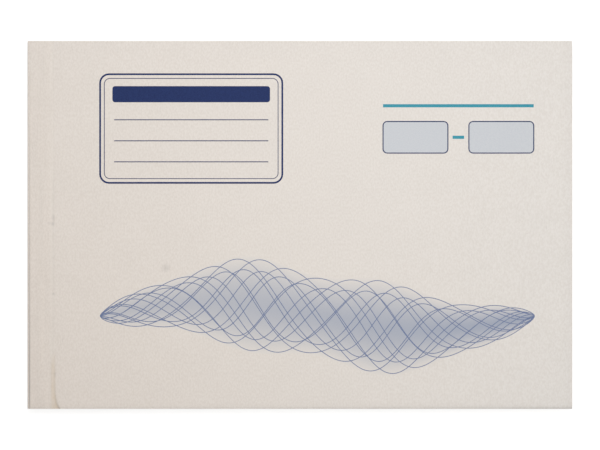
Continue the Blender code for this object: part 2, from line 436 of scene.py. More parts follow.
class Nodes:
    """A shader's node tree, and short calls that add nodes to it."""

    def __init__(self, tree):
        self.tree = tree

    def plug(self, value, socket):
        """Links another node's output to a socket, or sets a plain value there."""
        if isinstance(value, bpy.types.NodeSocket):
            self.tree.links.new(value, socket)
        else:
            socket.default_value = value

    def add(self, kind, inputs=None, **settings):
        """Adds a node, sets it up, and plugs values into its inputs by their names or numbers."""
        node = self.tree.nodes.new("ShaderNode" + kind)
        for name, value in settings.items():
            setattr(node, name, value)
        for socket, value in (inputs or {}).items():
            self.plug(value, node.inputs[socket])
        return node

    def maths(self, operation, first, second):
        """Works out one value from two."""
        return self.add("Math", {0: first, 1: second}, operation=operation).outputs[0]

    def remap(self, value, old_range, new_range, shape="LINEAR"):
        """Takes a value from one range to another, and keeps it inside."""
        sockets = ("Value", "From Min", "From Max", "To Min", "To Max")
        inputs = dict(zip(sockets, (value, *old_range, *new_range)))
        return self.add("MapRange", inputs, interpolation_type=shape).outputs["Result"]

    def seen_directly(self):
        """1 for rays from the camera and for those that metal or glass sends on, else 0."""
        path = self.add("LightPath").outputs
        seen = path["Is Camera Ray"]
        for other in ("Is Glossy Ray", "Is Transmission Ray"):
            seen = self.maths("MAXIMUM", seen, path[other])
        return seen


class Finish(Nodes):
    """A material, and short calls for what its surface shows."""

    def __init__(self, name, roughness, specular):
        self.material = bpy.data.materials.new(name)
        self.material.use_nodes = True
        super().__init__(self.material.node_tree)
        self.shader = self.tree.nodes["Principled BSDF"].inputs
        self.shader["Roughness"].default_value = roughness
        self.shader["Specular IOR Level"].default_value = specular
        self.places = self.add("TexCoord").outputs["Object"]

    def places_from(self, centre, sizes):
        """Places on the piece, counted from a centre in units of the given sizes along X, Y and Z."""
        start = [-place / size for place, size in zip(centre, sizes)]
        inputs = {"Vector": self.places, "Location": start, "Scale": [1 / size for size in sizes]}
        return self.add("Mapping", inputs).outputs["Vector"]

    def distance(self, centre=(0.0, 0.0, 0.0), sizes=(1.0, 1.0, 1.0)):
        """Distance from a centre, in units of the given sizes."""
        places = self.places_from(centre, sizes)
        return self.add("VectorMath", {0: places}, operation="LENGTH").outputs["Value"]

    def noise(self, sizes, detail=2.0, roughness=0.5):
        """Noise whose patches have the given sizes along X, Y and Z, in millimetres."""
        places = self.places_from((0.0, 0.0, 0.0), [size * MM for size in sizes])
        inputs = {"Vector": places, "Scale": 1.0, "Detail": detail, "Roughness": roughness}
        return self.add("TexNoise", inputs).outputs["Fac"]

    def spread(self, value, low, high):
        """Noise, which keeps to the middle of its range, spread out between two values."""
        return self.remap(value, (NOISE_LOW, NOISE_HIGH), (low, high))

    def mark(self, name):
        """A value that the piece's mesh carries at its points."""
        return self.add("Attribute", attribute_name=name).outputs["Fac"]

    def ramp(self, value, *stops):
        """Turns a value into a colour, by pairs of value and colour."""
        node = self.add("ValToRGB", {"Fac": value})
        elements = node.color_ramp.elements
        elements[0].position, elements[0].color = stops[0]
        elements[1].position, elements[1].color = stops[-1]
        for position, colour in stops[1:-1]:
            elements.new(position).color = colour
        return node.outputs["Color"]

    def shades(self, value, dark, pale):
        """Turns noise into colours between a dark and a pale one."""
        return self.ramp(value, (NOISE_LOW, dark), (NOISE_HIGH, pale))

    def mix(self, factor, first, second, mode="MIX"):
        """Goes from the first colour to the second, or blends them in another mode."""
        inputs = {MIX_FACTOR: factor, MIX_FIRST: first, MIX_SECOND: second}
        return self.add("Mix", inputs, data_type="RGBA", blend_type=mode).outputs[MIX_RESULT]

    def toned(self, colour, tone):
        """Multiplies a colour by a tone."""
        return self.mix(1.0, colour, tone, "MULTIPLY")

    def colour(self, value):
        """Sets the surface's colour."""
        self.plug(value, self.shader["Base Color"])

    def rough(self, value):
        """Sets the surface's roughness."""
        self.plug(value, self.shader["Roughness"])

    def bump(self, height, depth):
        """Raises the surface by up to a depth, in millimetres, where the height is 1."""
        node = self.add("Bump", {"Strength": 1.0, "Distance": depth * MM, "Height": height})
        self.plug(node.outputs["Normal"], self.shader["Normal"])


def cover_card():
    """Matt ivory card with grain, fibres, glue streaks, dirt and stains, and painted shade and
    highlight.
    """
    finish = Finish("cover_card", roughness=0.6, specular=0.3)
    grain = finish.noise((0.45, 0.75, 0.45), detail=1.0)
    cloud = finish.noise((9, 7, 9))
    fibre = finish.noise((0.35, 2.4, 0.35), roughness=0.7)
    streak = finish.noise((0.55, 26, 0.55), detail=3.0, roughness=0.6)
    # Painted light: a cooler tone near the fore edge, and painted warm shade towards the spine and
    # tail
    cool_light_tone = (1.0, 1.008, 1.03, 1.0)
    warm_shade_tone = (1.0, 0.964, 0.95, 1.0)
    glued_tone = (0.972, 0.967, 0.962, 1.0)
    dry_tone = (1.018, 1.011, 1.006, 1.0)
    colour = finish.ramp(grain, (0.32, screen(226, 219, 210)), (0.68, screen(233, 227, 219)))
    colour = finish.toned(colour, finish.shades(cloud, grey(0.985), grey(1.0)))
    colour = finish.toned(colour, finish.ramp(fibre, (0.24, grey(0.93)), (0.34, grey(1.0))))
    painted_warmth = finish.ramp(finish.mark("warm_shade"), (0.0, cool_light_tone), (1.0, warm_shade_tone))
    colour = finish.toned(colour, painted_warmth)
    streaked = finish.toned(colour, finish.shades(streak, glued_tone, dry_tone))
    colour = finish.mix(finish.mark("bound"), colour, streaked)
    # Painted highlight along the crease
    colour = finish.mix(finish.mark("painted_highlight"), colour, screen(241, 234, 225))
    # Painted shade and dirt, made patchy, with the smudges' dirt added, all mixed towards dark grey
    dirt_and_shade_depth = finish.maths("MULTIPLY", finish.mark("dirt_and_shade"), finish.spread(cloud, 0.85, 1.15))
    for smudge in SMUDGES:
        centre = (HINGE.x + smudge.right * MM, smudge.up * MM, PAD_TOP)
        distance = finish.distance(centre, (smudge.half_wide * MM, smudge.half_high * MM, MM))
        depth = finish.remap(distance, (0.0, 1.0), (smudge.depth, 0.0), "SMOOTHSTEP")
        dirt_and_shade_depth = finish.maths("ADD", dirt_and_shade_depth, depth)
    colour = finish.mix(dirt_and_shade_depth, colour, screen(112, 106, 104))
    colour = finish.mix(finish.mark("stain"), colour, screen(198, 166, 112))
    finish.colour(colour)
    finish.rough(finish.spread(grain, 0.56, 0.66))
    finish.bump(finish.maths("ADD", grain, fibre), 0.012)
    return finish.material


def card_edge():
    """Cut edge of the card: paler core with pressed layers."""
    finish = Finish("card_edge", roughness=0.8, specular=0.2)
    layers = finish.noise((3, 3, 0.05), detail=3.0)
    finish.colour(finish.shades(layers, screen(205, 197, 186), screen(232, 227, 219)))
    finish.bump(layers, 0.01)
    return finish.material


def receipt_paper():
    """White writing paper with cloudy formation and faint fibres."""
    finish = Finish("receipt_paper", roughness=0.7, specular=0.25)
    cloud = finish.noise((2.4, 2.0, 2.4), detail=3.0, roughness=0.6)
    fibre = finish.noise((1.6, 0.2, 0.2))
    colour = finish.shades(cloud, screen(238, 237, 232), screen(245, 244, 240))
    finish.colour(finish.toned(colour, finish.ramp(fibre, (0.25, grey(0.965)), (0.36, grey(1.0)))))
    finish.rough(finish.spread(cloud, 0.66, 0.76))
    finish.bump(finish.maths("ADD", cloud, fibre), 0.006)
    return finish.material


def page_edge():
    """Cut edges of the sheets: each sheet a little paler or darker, dusty in places."""
    finish = Finish("page_edge", roughness=0.85, specular=0.15)
    sheets = finish.noise((25, 25, 0.13), roughness=0.7)
    dust = finish.noise((6, 6, 1.5), detail=3.0)
    colour = finish.shades(sheets, screen(206, 202, 194), screen(243, 241, 236))
    finish.colour(finish.toned(colour, finish.ramp(dust, (0.35, grey(0.93)), (0.6, grey(1.0)))))
    finish.bump(sheets, 0.01)
    return finish.material


def grey_board():
    """Recycled board: grey pulp with dark and pale flecks, layered at its cut edges."""
    finish = Finish("grey_board", roughness=0.85, specular=0.15)
    pulp = finish.noise((1.2, 1.6, 0.12), detail=4.0, roughness=0.65)
    fleck = finish.noise((0.35, 0.5, 0.2), detail=1.0)
    colour = finish.shades(pulp, screen(146, 139, 128), screen(176, 169, 157))
    colour = finish.toned(colour, finish.ramp(fleck, (0.22, grey(0.55)), (0.30, grey(1.0))))
    pale = finish.ramp(fleck, (0.70, grey(0.0)), (0.80, grey(0.10)))
    finish.colour(finish.mix(1.0, colour, pale, "ADD"))
    finish.rough(finish.spread(pulp, 0.8, 0.92))
    finish.bump(pulp, 0.03)
    return finish.material


def binding_glue():
    """Dried white glue, slightly yellow, with ripples."""
    finish = Finish("binding_glue", roughness=0.4, specular=0.45)
    ripple = finish.noise((0.8, 4, 0.8), detail=3.0)
    finish.colour(finish.shades(ripple, screen(221, 212, 190), screen(237, 231, 214)))
    finish.rough(finish.spread(ripple, 0.3, 0.5))
    finish.bump(ripple, 0.02)
    return finish.material


def steel_wire():
    """Drawn and galvanised wire: bright, with fine drawing lines and dull patches."""
    finish = Finish("steel_wire", roughness=0.3, specular=0.5)
    finish.shader["Metallic"].default_value = 1.0
    drawing = finish.noise((0.05, 1.5, 0.05))
    finish.colour(finish.shades(drawing, screen(176, 178, 180), screen(214, 215, 216)))
    finish.rough(finish.spread(drawing, 0.24, 0.42))
    finish.bump(drawing, 0.004)
    return finish.material


def printed(name, dark, pale):
    """Offset ink that sinks a little into the paper, so that its tone wavers between two colours."""
    finish = Finish(name, roughness=0.55, specular=0.12)
    sink = finish.noise((0.35, 0.35, 0.35), roughness=0.7)
    finish.colour(finish.shades(sink, screen(*dark), screen(*pale)))
    finish.rough(finish.spread(sink, 0.5, 0.62))
    return finish.material


def shaded_ink():
    """Blue-grey screen tint that fades between its dark middle and paler sides."""
    finish = Finish("shaded_ink", roughness=0.58, specular=0.3)
    sink = finish.noise((0.4, 0.4, 0.4))
    stops = ((0.0, screen(229, 222, 215)), (0.4, screen(205, 203, 204)), (1.0, screen(160, 167, 183)))
    colour = finish.ramp(finish.mark("shade"), *stops)
    finish.colour(finish.toned(colour, finish.shades(sink, grey(0.975), grey(1.0))))
    finish.rough(finish.spread(sink, 0.54, 0.64))
    return finish.material


CARD = cover_card()
CARD_EDGE = card_edge()
PAPER = receipt_paper()
PAGE_EDGE = page_edge()
NAVY_INK = printed("navy_ink", (24, 40, 84), (38, 54, 102))
TEAL_INK = printed("teal_ink", (58, 146, 164), (74, 158, 176))
LINE_INK = printed("line_ink", (104, 117, 152), (126, 138, 168))
TINT_INK = printed("tint_ink", (202, 205, 210), (210, 212, 215))
FORM_INK = printed("form_ink", (70, 92, 148), (88, 110, 164))
FORM_TINT = printed("form_tint", (212, 222, 236), (220, 229, 241))
SHADED_INK = shaded_ink()


# Form of the card cover


def towards_fore(x):
    """0 at the spine and 1 at the fore edge."""
    return (x - SPINE_X) / (FORE_X - SPINE_X)


def towards_tail(y):
    """0 at the head and 1 at the tail."""
    return (HEAD_Y - y) / (HEAD_Y - TAIL_Y)


def crumple_share(y):
    """0 at the upper end of the crumpled stretch of the crease, and 1 at the tail."""
    return clamp(1 - (y - TAIL_Y) / CRUMPLE_LENGTH)


def crumple_onset(y):
    """0 above the crumpled stretch, rising to 1 in its first quarter."""
    return min(1.0, 4 * crumple_share(y))


def crumple_lines(y):
    """Where the crumple's lines run: one beside the crease, and one that leaves it near the tail."""
    drift = CRUMPLE_DRIFT * crumple_share(y) ** DRIFT_POWER
    return HINGE.x + CRUMPLE_LEFT, HINGE.x + CRUMPLE_RIGHT + drift


def crumple_weight(x, y):
    """1 inside the crumple, and falling to 0 outside its lines."""
    left, right = crumple_lines(y)
    half_width = (right - left) / 2 + CRUMPLE_MARGIN
    return crumple_onset(y) * math.exp(-(((x - (left + right) / 2) / half_width) ** 4))


def crumple(x, y):
    """Height of the small ridges in the crumple."""
    coarse = noise_at(x, y, x_size=0.55 * MM, y_size=2.2 * MM, seed=3)
    fine = noise_at(x, y, x_size=0.25 * MM, y_size=0.8 * MM, seed=7)
    return CRUMPLE_RELIEF * crumple_weight(x, y) * clamp((coarse + 0.5 * fine) * 1.4, low=-1.0)


def card_level(x, y):
    """Height of the cover's outer face on either side of the crease."""
    return PAD_TOP - CREASE_DEPTH * ridge(x - HINGE.x, CREASE_REACH) + crumple(x, y)


def lift(x, y):
    """How far the free side of the cover stands up, more at the tail corner."""
    reach = max(0.0, (x - HINGE.x - LIFT_START) / (FORE_X - HINGE.x - LIFT_START))
    return COVER_LIFT * reach**2 * growing(HEAD_LIFT_SHARE, towards_tail(y))


def panel_level(x, y):
    """Height of the front panel's outer face."""
    return card_level(x, y) + lift(x, y)


def edge_drop(distance):
    """How far the card's face bends down near a cut edge."""
    return EDGE_DROP * max(0.0, 1 - distance / EDGE_REACH) ** 2


def striation(x, y):
    """Ripples of the glue under the bound strip, long and upright."""
    inset = clamp((x - SPINE_X - FOLD_RADIUS) / STRIATION_INSET)
    coarse = noise_at(x, y, x_size=0.45 * MM, y_size=22 * MM, seed=19)
    fine = noise_at(x, y, x_size=0.22 * MM, y_size=9 * MM, seed=23)
    return STRIATION_RELIEF * inset * (coarse + 0.5 * fine)


# Wear, painted shade and painted highlight of the card cover


def is_outer_face(z):
    """Tells the front of the pad from its spine and back."""
    return z > PAD_TOP - CARD_THICKNESS


def warm_shade_at(x, y, z):
    """Painted warm shade: the card is warmer and a little darker towards the spine, most at the tail.
    """
    return (1 - towards_fore(x)) * growing(HEAD_WARM_SHADE_SHARE, towards_tail(y))


def stain_at(x, y, z):
    """A yellow stain between the lines of the crumple, deepest beside the right one near the tail."""
    if not is_outer_face(z):
        return 0.0
    blotch = 0.9 + 0.5 * noise_at(x, y, x_size=0.6 * MM, y_size=1.6 * MM, seed=11)
    beside_line = ridge(x - crumple_lines(y)[1] - LINE_STAIN_OFFSET, LINE_STAIN_WIDTH)
    between_lines = max(0.0, CRUMPLE_STAIN * crumple_weight(x, y) * blotch)
    return between_lines + LINE_STAIN * crumple_share(y) ** TAIL_POWER * beside_line


def crease_highlight_at(x, y, z):
    """A patchy painted highlight along the crease, mostly on its bound side."""
    if not is_outer_face(z):
        return 0.0
    patchy = 0.8 + 0.6 * noise_at(x, y, x_size=0.8 * MM, y_size=6 * MM, seed=13)
    return max(0.0, CREASE_HIGHLIGHT * ridge(x - HINGE.x - CREASE_HIGHLIGHT_OFFSET, CREASE_HIGHLIGHT_WIDTH) * patchy)


def tail_shade(x, y):
    """A soft painted shade along the tail, darker towards the fore edge."""
    return (TAIL_SHADE + TAIL_FORE_SHADE * towards_fore(x) ** 2) * fading(y - TAIL_Y, TAIL_SHADE_REACH)


def crease_shade(x, y):
    """A faint line of painted shade in the crease, from above the middle down to the crumple."""
    below_start = falling(y, CREASE_SHADE_TOP, CREASE_SHADE_FADE)
    above_crumple = 1 - crumple_onset(y)
    in_crease = ridge(x - HINGE.x - CREASE_SHADE_OFFSET, CREASE_SHADE_WIDTH)
    return CREASE_SHADE * below_start * above_crumple * in_crease


def crumple_line_shade(x, y):
    """Painted shade in the crumple's two lines, most where the right one leaves the crease."""
    left, right = crumple_lines(y)
    left_line = LINE_SHADE * ridge(x - left, LEFT_LINE_WIDTH)
    right_depth = LINE_SHADE + LINE_TAIL_SHADE * crumple_share(y) ** TAIL_POWER
    return crumple_onset(y) * (left_line + right_depth * ridge(x - right, RIGHT_LINE_WIDTH))


def panel_dirt_and_shade_at(x, y, z):
    """Painted shade along the tail, in the crease and in the crumple's lines, and a faint darker rim
    along the fore edge.
    """
    fore_darkening = FORE_DARKENING * fading(FORE_X - x, FORE_DARKENING_REACH)
    return tail_shade(x, y) + fore_darkening + crease_shade(x, y) + crumple_line_shade(x, y)


def wrap_dirt_and_shade_at(x, y, z):
    """A dark line of painted shade and dirt along the folded spine, darker towards the tail but
    fainter at its very end.

    Painted shade runs along the tail too. The bound strip is also a little darker where it is glued
    down.
    """
    in_fold = ridge(x - SPINE_X - FOLD_LINE_INSET, FOLD_LINE_WIDTH)
    faded_end = 1 - FOLD_END_FADE * fading(y - TAIL_Y, FOLD_END_REACH)
    fold_depth = FOLD_SHADE_AND_DIRT + FOLD_TAIL_SHADE_AND_DIRT * towards_tail(y) ** FOLD_TAIL_POWER
    dirt_and_shade = in_fold * faded_end * fold_depth + tail_shade(x, y)
    if not is_outer_face(z):
        return dirt_and_shade
    glued_band = GLUED_DIRT * towards_tail(y) * falling(x, SPINE_X + GLUED_EDGE, GLUED_FADE)
    return dirt_and_shade + glued_band + crease_shade(x, y) + crumple_line_shade(x, y)


def bound_at(x, y, z):
    """How much of the glue streaks the wrap shows: all on the bound strip, less round the spine."""
    return 1.0 if z > PAD_TOP - FOLD_RADIUS else SPINE_STREAKS


def unbound_at(x, y, z):
    """The front panel isn't glued down, so it shows no streaks."""
    return 0.0


# Pieces of the card cover


def to_cut_edge(start, stop, fine, coarse, growth):
    """Graded stations that end with a bent cut edge."""
    return graded(start, stop - EDGE_REACH, fine, coarse, growth) + [stop - EDGE_REACH / 2, stop]


def between_cut_edges(start, stop, fine, coarse, growth):
    """Graded stations with a bent cut edge at both ends."""
    first_edge = [start, start + EDGE_REACH / 2]
    return first_edge + to_cut_edge(start + EDGE_REACH, stop, fine, coarse, growth)


CARD_ROWS = between_cut_edges(TAIL_Y, HEAD_Y, fine=0.25 * MM, coarse=2.5 * MM, growth=1.07)


def card_piece(name, shape, body, dirt_and_shade_at, streaks_at):
    """A piece of the card, with the marks that its material reads."""
    marks = {
        "warm_shade": warm_shade_at,
        "stain": stain_at,
        "painted_highlight": crease_highlight_at,
        "dirt_and_shade": dirt_and_shade_at,
        "bound": streaks_at,
    }
    materials = (CARD, CARD_EDGE)
    return make_piece(name, shape, body, CARD_THICKNESS, materials, rim=1, marks=marks)


def front_panel():
    """The panel right of the crease, which turns."""

    def place(x, y):
        edge = min(FORE_X - x, y - TAIL_Y, HEAD_Y - y)
        return (x, y, panel_level(x, y) - edge_drop(edge))

    crease_x = HINGE.x + CREASE_HALF_GAP
    columns = to_cut_edge(crease_x, FORE_X, fine=0.1 * MM, coarse=2.5 * MM, growth=1.06)
    shape = Shape()
    shape.patch(columns, CARD_ROWS, place)
    piece = card_piece("front_panel", shape, "cover", panel_dirt_and_shade_at, unbound_at)
    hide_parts("front_cover")


def fold_arc(centre_x, centre_z, start, stop):
    """Stations round a fold from one angle to another, in degrees, without its ends."""
    stations = []
    for step in range(1, FOLD_STEPS):
        angle = math.radians(start + (stop - start) * step / FOLD_STEPS)
        out_x, out_z = math.cos(angle), math.sin(angle)
        x, z = centre_x + FOLD_RADIUS * out_x, centre_z + FOLD_RADIUS * out_z
        stations.append((x, z, out_x, out_z))
    return stations


def wrap_profile():
    """Outer outline of the folded card, from the back panel's fore edge round the spine to the crease.

    Each station has its place in X and Z and the direction that faces outwards there.
    """
    inner_x = SPINE_X + FOLD_RADIUS
    low_z, high_z = PAD_BOTTOM + FOLD_RADIUS, PAD_TOP - FOLD_RADIUS
    back_places = to_cut_edge(inner_x, FORE_X, fine=0.4 * MM, coarse=5 * MM, growth=1.3)
    back = [(x, PAD_BOTTOM + edge_drop(FORE_X - x), 0.0, -1.0) for x in reversed(back_places)]
    lower_fold = fold_arc(inner_x, low_z, 270, 180)
    spine = [(SPINE_X, z, -1.0, 0.0) for z in even(low_z, high_z, SPINE_STEP)]
    upper_fold = fold_arc(inner_x, high_z, 180, 90)
    strip = [(x, PAD_TOP, 0.0, 1.0) for x in even(inner_x, HINGE.x - CREASE_HALF_GAP, STRIP_STEP)]
    return back + lower_fold + spine + upper_fold + strip


def card_wrap():
    """Bound strip, spine and back panel, folded from one piece of card."""
    profile = wrap_profile()

    def place(station, y):
        x, z, out_x, out_z = profile[station]
        relief = -edge_drop(min(y - TAIL_Y, HEAD_Y - y))
        if out_z == 1.0:
            relief += card_level(x, y) - PAD_TOP + striation(x, y)
        return (x + out_x * relief, y, z + out_z * relief)

    shape = Shape()
    shape.patch(range(len(profile)), CARD_ROWS, place)
    piece = card_piece("card_wrap", shape, "root", wrap_dirt_and_shade_at, bound_at)
    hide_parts("cover_wrap")


# Receipts


def sheet_numbers(node):
    """The receipts that a node such as receipt_004 or receipts_011_020 holds."""
    numbers = [int(word) for word in node.split("_") if word.isdigit()]
    return range(numbers[0], numbers[-1] + 1)


def sheet_level(number):
    """Height of a sheet's upper face. The uppermost sheets stand up a little with the cover."""
    top = LEAF_HIGH.z - (number - 1) * SHEET_PITCH
    share = SHEET_LIFT_SHARE * max(0.0, 1 - number / (SINGLE_COUNT + 1)) ** SHEET_LIFT_POWER
    return lambda x, y: top + share * lift(x, y)


def trim(number, side, most):
    """How far a sheet's edge stays back from the pad's. Batches of sheets differ, single ones less."""
    batch = noise_at(number, side, x_size=6.3, y_size=0.29, seed=31)
    single = noise_at(number, side, x_size=0.71, y_size=0.43, seed=37)
    return most * clamp(MEAN_TRIM + BATCH_TRIM * batch + SINGLE_TRIM * single)


def sheet_ends(number):
    """Where a sheet ends at the tail and at the head."""
    tail = LEAF_LOW.y + trim(number, TAIL_SIDE, END_TRIM)
    head = LEAF_HIGH.y - trim(number, HEAD_SIDE, END_TRIM)
    return tail, head


def tie_edges(low, high):
    """Where the paper ties of a perforation start and stop, with a tie at each end."""
    count = round((high - low - TIE_WIDTH) / TIE_PITCH)
    pitch = (high - low - TIE_WIDTH) / count
    return [(low + index * pitch, low + index * pitch + TIE_WIDTH) for index in range(count + 1)]


def add_leaf(shape, number, fine):
    """One receipt right of its perforation. Only a fine one shows its ties and can curve."""
    tail, head = sheet_ends(number)
    fore = LEAF_HIGH.x - trim(number, FORE_SIDE, FORE_TRIM)
    level = sheet_level(number)

    def place(x, y):
        return (x, y, level(x, y))

    if not fine:
        shape.patch([LEAF_LOW.x, fore], [tail, head], place)
        return
    slit_end = LEAF_LOW.x + SLIT_WIDTH
    ties = tie_edges(tail, head)

    def is_paper(x, y):
        return x > slit_end or any(low < y < high for low, high in ties)

    columns = [LEAF_LOW.x] + even(slit_end, fore, LEAF_STEP)
    shape.patch(columns, [edge for tie in ties for edge in tie], place, keep=is_paper)


def paper_piece(name, shape, body):
    """A piece of one or more sheets, with their cut edges."""
    return make_piece(name, shape, body, PAPER_THICKNESS, (PAPER, PAGE_EDGE), rim=1)


def receipt_leaves():
    """The leaves that turn, single ones and packs. In a pack the outer two are fine."""
    for node in LEAF_NODES:
        numbers = sheet_numbers(node)
        shape = Shape()
        for number in numbers:
            add_leaf(shape, number, fine=number in (numbers[0], numbers[-1]))
        piece = paper_piece(node.replace("receipt", "sheet"), shape, BODY_OF[node])
        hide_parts(node)


def add_stub(shape, number, gaps):
    """One sheet left of its perforation, cut out along the wire between the ends of each gap."""
    level = sheet_level(number)
    columns = [STUB_LOW.x, WIRE_X - HOLE_RADIUS, WIRE_X + HOLE_RADIUS, STUB_HIGH.x]
    rows = sorted([*sheet_ends(number), *(edge for gap in gaps for edge in gap)])

    def place(x, y):
        return (x, y, level(x, y))

    def is_paper(x, y):
        return abs(x - WIRE_X) > HOLE_RADIUS or not any(low < y < high for low, high in gaps)

    shape.patch(columns, rows, place, keep=is_paper)


def stub_block():
    """The bound ends of all sheets, with room for the staples' crowns and, lower down, their legs."""
    crowns = [(low.y - WIRE_ROOM, high.y + WIRE_ROOM) for low, high in STAPLES]
    leg_places = [y for low, high in STAPLES for y in (low.y + WIRE_RADIUS, high.y - WIRE_RADIUS)]
    legs = [(y - HOLE_RADIUS, y + HOLE_RADIUS) for y in leg_places]
    shape = Shape()
    for node in LEAF_NODES:
        for number in sheet_numbers(node):
            add_stub(shape, number, crowns if number <= CROWN_DEPTH_SHEETS else legs)
    piece = paper_piece("stub_sheets", shape, "root")
    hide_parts(*STUB_NODES)


# Print


def between(start, stop, step):
    """Points inside a straight line, without its ends."""
    count = math.ceil(math.dist(start, stop) / step)
    run, rise = stop[0] - start[0], stop[1] - start[1]
    inner = range(1, count)
    return [(start[0] + run * index / count, start[1] + rise * index / count) for index in inner]


def straight(start, stop, step=PRINT_STEP):
    """Points along a straight line, close enough together to follow a curved sheet."""
    return [start] + between(start, stop, step) + [stop]


def rounded_box(centre, size, radius, step=PRINT_STEP):
    """Outline of a box with round corners, run anticlockwise."""
    half_wide, half_high = size[0] / 2 - radius, size[1] / 2 - radius
    corners = (
        (half_wide, -half_high, -90),
        (half_wide, half_high, 0),
        (-half_wide, half_high, 90),
        (-half_wide, -half_high, 180),
    )
    path = []
    for x, y, start in corners:
        for turn in CORNER_TURNS:
            angle = math.radians(start + turn)
            run, rise = radius * math.cos(angle), radius * math.sin(angle)
            point = (centre[0] + x + run, centre[1] + y + rise)
            if path and turn == 0:
                path += between(path[-1], point, step)
            path.append(point)
    return path + between(path[-1], path[0], step)


def fill_box(shape, centre, size, radius, place, step=PRINT_STEP, material=0):
    """A filled box with round corners."""
    half_wide, half_high = size[0] / 2, size[1] / 2
    bend = [radius * (1 - math.cos(math.radians(turn))) for turn in CORNER_TURNS]
    rows = [-half_high + value for value in bend]
    rows += even(radius - half_high, half_high - radius, step)[1:-1]
    rows += [half_high - value for value in reversed(bend)]

    def inset(y):
        past = max(0.0, abs(y) - (half_high - radius))
        return radius - math.sqrt(max(0.0, radius**2 - past**2))

    def place_inside(share, y):
        return place(centre[0] + share * (half_wide - inset(y)), centre[1] + y)

    shape.patch(even(-1.0, 1.0, step / half_wide), rows, place_inside, material=material)


def on_sheet(level, rise):
    """Turns print places in millimetres into points that lie on a sheet's upper face."""
    return lambda x, y: (x * MM, y * MM, level(x * MM, y * MM) + rise)


def print_on_cover(name, shape, ink, marks=None):
    """Makes a piece of ink that turns with the cover."""
    make_piece(name, shape, "cover", INK_THICKNESS, (ink,), marks=marks)


def ribbon_share(x):
    """0 at the start of the ribbon and 1 at its end."""
    return (x - RIBBON_START) / (RIBBON_STOP - RIBBON_START)


def ribbon_middle(x):
    """Level of the ribbon's middle, which sways once along its length."""
    return RIBBON_LEVEL + RIBBON_SWAY * math.sin(math.tau * ribbon_share(x))


def ribbon_reach(x):
    """Half the ribbon's width: it swells three times and comes to a point at both ends."""
    share = clamp(ribbon_share(x))
    taper = math.sin(math.pi * share) ** RIBBON_TAPER_POWER
    swell = 1 + RIBBON_SWELL * math.cos(RIBBON_SWELLS * math.tau * share)
    return RIBBON_HALF_WIDTH * taper * swell + RIBBON_TIP


def ribbon_shade_at(x, y, z):
    """Deep along the ribbon's middle and fading out at its sides, and deeper towards the fore edge."""
    x, y = x / MM, y / MM
    across = min(1.0, abs(y - ribbon_middle(x)) / ribbon_reach(x))
    return (1 - across**SHADE_POWER) * growing(START_SHADE, ribbon_share(x))


def cover_ribbon():
    """A shaded ribbon over the lower half of the cover."""
    on_panel = on_sheet(panel_level, INK_RISE)

    def place(x, share):
        return on_panel(x, ribbon_middle(x) + share * ribbon_reach(x))

    shape = Shape()
    columns = even(RIBBON_START, RIBBON_STOP, RIBBON_STEP)
    shape.patch(columns, even(-1.0, 1.0, RIBBON_SHARE_STEP), place)
    print_on_cover("cover_print_ribbon", shape, SHADED_INK, marks={"shade": ribbon_shade_at})


def strand_path(wavelength, share, phase):
    """One wave that swings across a share of the ribbon's width."""
    path = []
    for x in even(RIBBON_START, RIBBON_STOP, STRAND_STEP):
        swing = math.sin(math.tau * x / wavelength + phase)
        path.append((x, ribbon_middle(x) + share * ribbon_reach(x) * swing))
    return path


def cover_strands():
    """Two families of fine waves woven over the ribbon, as on printed vouchers."""
    shape = Shape()
    rise = INK_RISE + OVERPRINT_RISE
    for wavelength, share in STRAND_FAMILIES:
        for strand in range(FAMILY_STRANDS):
            path = strand_path(wavelength, share, math.tau * strand / FAMILY_STRANDS)
            shape.stroke(path, STRAND_LINE, on_sheet(panel_level, rise))
            rise += STRAND_RISE
    print_on_cover("cover_print_strands", shape, LINE_INK)


def cover_label():
    """A blank label with a double frame, a band and writing lines, two number boxes, and accents."""
    place = on_sheet(panel_level, INK_RISE)
    over = on_sheet(panel_level, INK_RISE + OVERPRINT_RISE)
    lines = Shape()
    lines.stroke(rounded_box(LABEL_CENTRE, LABEL_SIZE, LABEL_RADIUS), LABEL_LINE, place, closed=True)
    inner_size = [side - 2 * INNER_FRAME_INSET for side in LABEL_SIZE]
    inner_frame = rounded_box(LABEL_CENTRE, inner_size, INNER_FRAME_RADIUS)
    lines.stroke(inner_frame, INNER_FRAME_LINE, place, closed=True)
    fill_box(lines, (LABEL_CENTRE[0], BAND_LEVEL), BAND_SIZE, BAND_RADIUS, place)
    left, right = LABEL_WRITING_ENDS
    for y in LABEL_WRITING_LEVELS:
        lines.stroke(straight((left, y), (right, y)), WRITING_LINE, place)
    boxes = Shape()
    for centre in NUMBER_BOX_CENTRES:
        fill_box(boxes, centre, NUMBER_BOX_SIZE, BOX_RADIUS, place)
        lines.stroke(rounded_box(centre, NUMBER_BOX_SIZE, BOX_RADIUS), BOX_LINE, over, closed=True)
    accents = Shape()
    for start, stop in (ACCENT_DASH, ACCENT_RULE):
        accents.stroke(straight(start, stop), ACCENT_LINE, place)
    print_on_cover("cover_print_lines", lines, NAVY_INK)
    print_on_cover("cover_print_boxes", boxes, TINT_INK)
    print_on_cover("cover_print_accent", accents, TEAL_INK)


